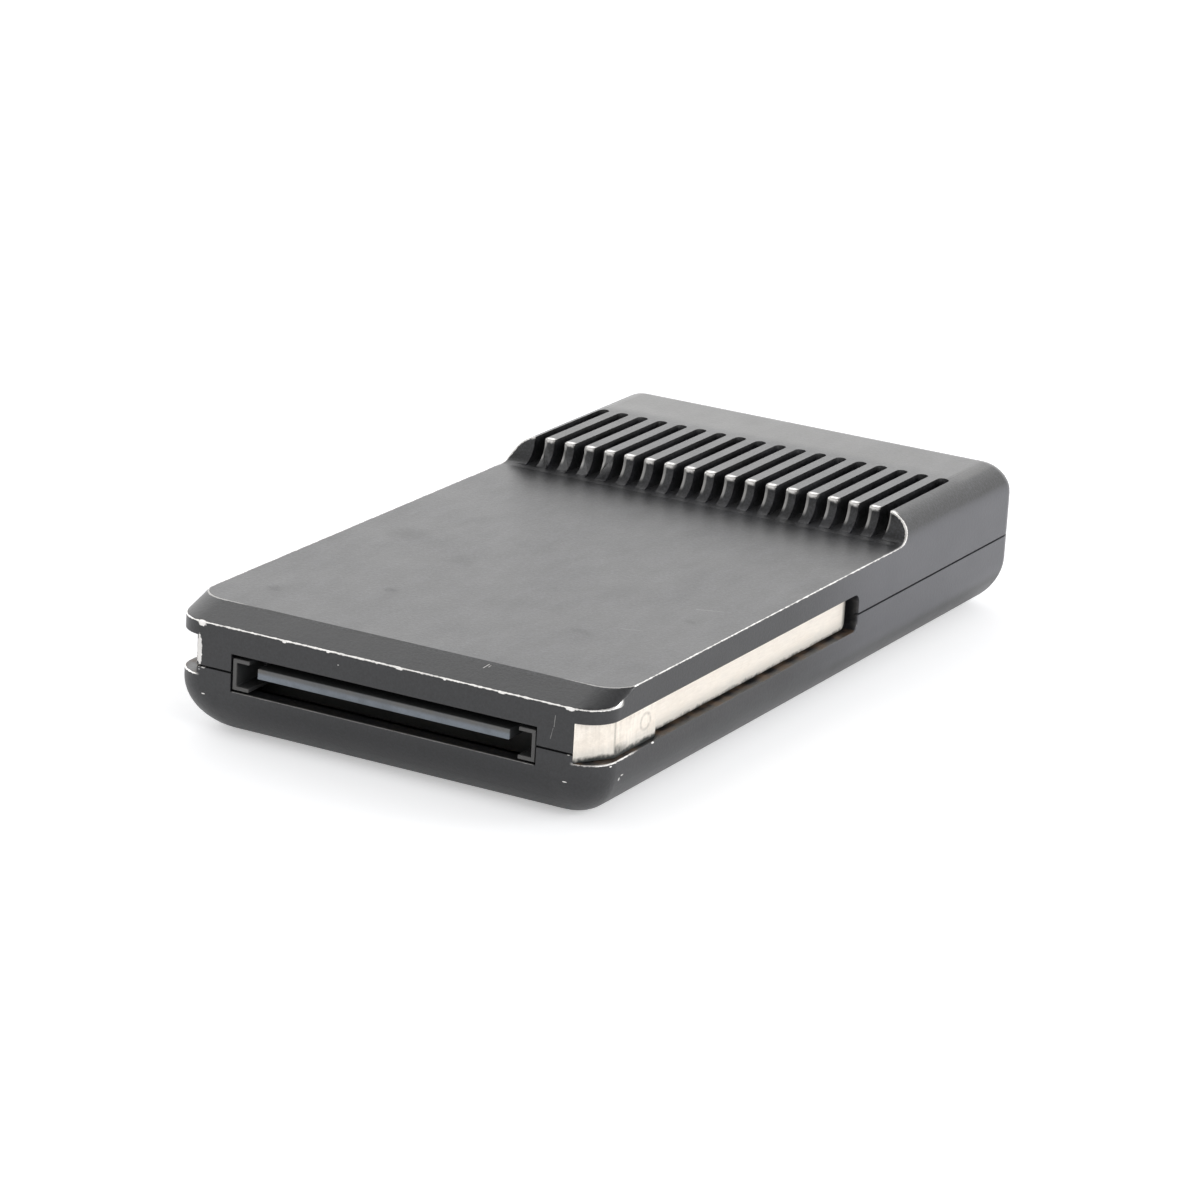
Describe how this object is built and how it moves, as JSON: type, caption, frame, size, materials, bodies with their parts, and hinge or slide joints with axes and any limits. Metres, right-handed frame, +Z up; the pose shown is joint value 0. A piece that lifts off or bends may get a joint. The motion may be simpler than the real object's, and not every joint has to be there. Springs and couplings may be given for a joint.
{
  "type": "capture drive",
  "caption": "Flat removable solid-state capture drive with a finned grip, side guide grooves with metal rails, and a serial drive connector at the front.",
  "frame": {"origin": "centre of the underside", "axes": "+Y runs from the connector end to the finned grip, +Z is up through the deck, +X is to the right seen from the connector end"},
  "size_m": [0.0568, 0.1088, 0.019],
  "materials": {
    "case_anodised": "satin black anodised aluminium, worn bright on its edges",
    "rail_metal": "bare brushed metal, stained",
    "connector_plastic": "glass-filled black plastic",
    "contact_gold": "gold-plated spring metal",
    "tinned_steel": "tin-plated sheet",
    "board_green": "solder-masked glass-fibre board",
    "module_green": "solder-masked glass-fibre board",
    "screw_black": "black-oxide steel",
    "screw_steel": "plain nickel-plated steel",
    "brass_plain": "turned brass",
    "chip_plastic": "moulded epoxy",
    "pad_grey": "soft gap filler",
    "ceramic": "ceramic with tinned ends",
    "crystal_can": "plated metal can"
  },
  "bodies": {
    "root": {"upper_case": "case_anodised", "lower_case": "case_anodised", "guide_rail_left": "rail_metal", "guide_rail_right": "rail_metal", "connector_housing": "connector_plastic", "signal_contacts": "contact_gold", "power_contacts": "contact_gold", "connector_brackets": "tinned_steel", "main_board": "board_green", "case_screws": "screw_black", "board_screws": "screw_steel", "module_socket": "connector_plastic", "socket_contacts": "contact_gold", "module_board": "module_green", "module_standoff": "brass_plain", "module_screw": "screw_steel", "controller_chip": "chip_plastic", "cache_chip": "chip_plastic", "flash_chip_1": "chip_plastic", "flash_chip_2": "chip_plastic", "flash_chip_3": "chip_plastic", "flash_chip_4": "chip_plastic", "upper_thermal_pad": "pad_grey", "lower_thermal_pad": "pad_grey", "module_power_chip": "chip_plastic", "clock_crystal": "crystal_can", "regulator_chip": "chip_plastic", "power_inductor": "ceramic", "id_chip": "chip_plastic", "board_capacitors": "ceramic", "module_capacitors": "ceramic", "protection_chips": "chip_plastic"}
  },
  "joints": []
}
